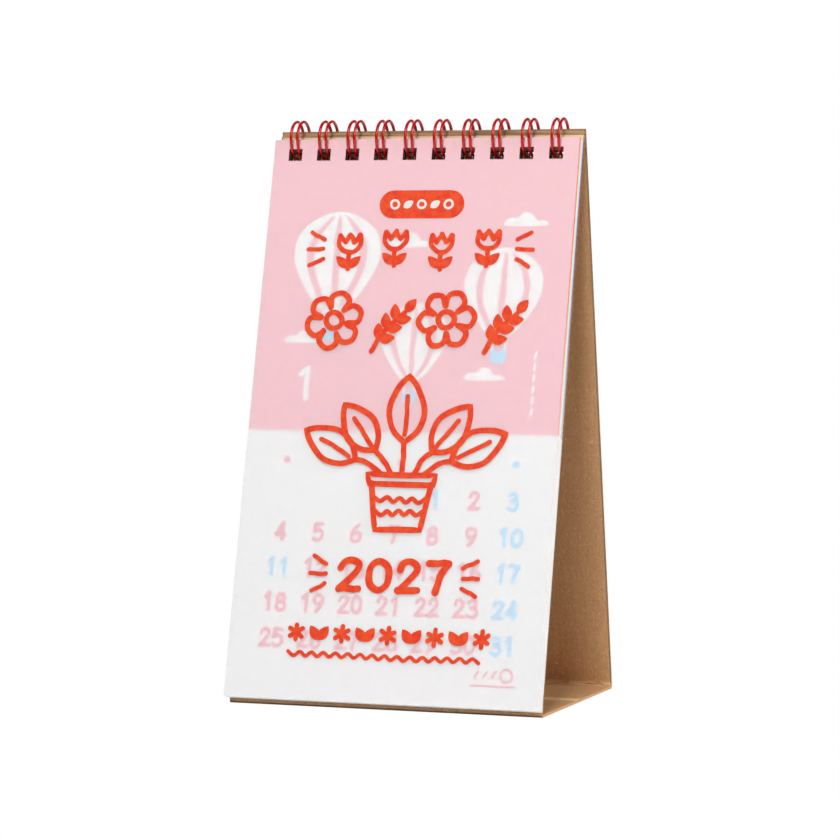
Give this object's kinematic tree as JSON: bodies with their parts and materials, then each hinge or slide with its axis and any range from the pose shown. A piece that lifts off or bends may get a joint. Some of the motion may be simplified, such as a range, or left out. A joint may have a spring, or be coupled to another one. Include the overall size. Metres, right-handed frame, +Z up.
{
  "type": "desk calendar",
  "caption": "Upright folding desk calendar: a kraft board easel with month sheets and a translucent cover hung on a twin-loop wire along its top edge.",
  "frame": {"origin": "on the table, under the centre of the bounding box", "axes": "+Z up, the calendar's face towards -Y, +X to the right of someone who reads it"},
  "size_m": [0.0894, 0.0768, 0.1614],
  "materials": {
    "kraft_board": "uncoated kraft board",
    "red_wire": "nylon-coated steel wire, satin",
    "cover_paper": "translucent parchment paper with orange print",
    "january_paper": "uncoated, pink upper half",
    "february_paper": "uncoated, pink-red upper half",
    "march_paper": "uncoated, salmon upper half",
    "april_paper": "uncoated, sand upper half",
    "may_paper": "uncoated, pale yellow upper half",
    "june_paper": "uncoated, pale green upper half",
    "july_paper": "uncoated, mint upper half",
    "august_paper": "uncoated, pale blue upper half",
    "september_paper": "uncoated, lavender upper half",
    "october_paper": "uncoated, purple upper half",
    "november_paper": "uncoated, plum upper half",
    "december_paper": "uncoated, dark upper half"
  },
  "bodies": {
    "stand_front": {"front_board": "kraft_board", "binding_wire": "red_wire"},
    "stand_back": {"back_board": "kraft_board"},
    "base_front": {"base_front_panel": "kraft_board"},
    "base_rear": {"base_rear_panel": "kraft_board"},
    "month_pad": {"february_sheet": "february_paper", "march_sheet": "march_paper", "april_sheet": "april_paper", "may_sheet": "may_paper", "june_sheet": "june_paper", "july_sheet": "july_paper", "august_sheet": "august_paper", "september_sheet": "september_paper", "october_sheet": "october_paper", "november_sheet": "november_paper", "december_sheet": "december_paper"},
    "january_leaf": {"january_sheet": "january_paper"},
    "cover_leaf": {"cover_sheet": "cover_paper"}
  },
  "joints": [
    {"name": "back_fold", "type": "hinge", "parent": "stand_front", "child": "stand_back", "pos_m": [0, 0.0014, 0.15583], "axis": [-1, 0, 0], "range_deg": [0, 26.05]},
    {"name": "front_base_fold", "type": "hinge", "parent": "stand_front", "child": "base_front", "pos_m": [0, -0.0354, 0], "axis": [-1, 0, 0], "range_deg": [0, 104.4]},
    {"name": "base_crease", "type": "hinge", "parent": "base_front", "child": "base_rear", "pos_m": [0, 0.0015, 0.00083], "axis": [1, 0, 0], "range_deg": [0, 179.7]},
    {"name": "pad_turn", "type": "hinge", "parent": "stand_front", "child": "month_pad", "pos_m": [0, 0.0014, 0.15583], "axis": [-1, 0, 0], "range_deg": [0, 40]},
    {"name": "january_turn", "type": "hinge", "parent": "month_pad", "child": "january_leaf", "pos_m": [0, 0.0014, 0.15583], "axis": [-1, 0, 0], "range_deg": [0, 50]},
    {"name": "cover_turn", "type": "hinge", "parent": "january_leaf", "child": "cover_leaf", "pos_m": [0, 0.0014, 0.15583], "axis": [-1, 0, 0], "range_deg": [0, 110]}
  ],
  "couplings": [
    {"joint": "back_fold", "follows": "base_crease", "ratio": 0.14472},
    {"joint": "front_base_fold", "follows": "base_crease", "ratio": 0.58065}
  ]
}
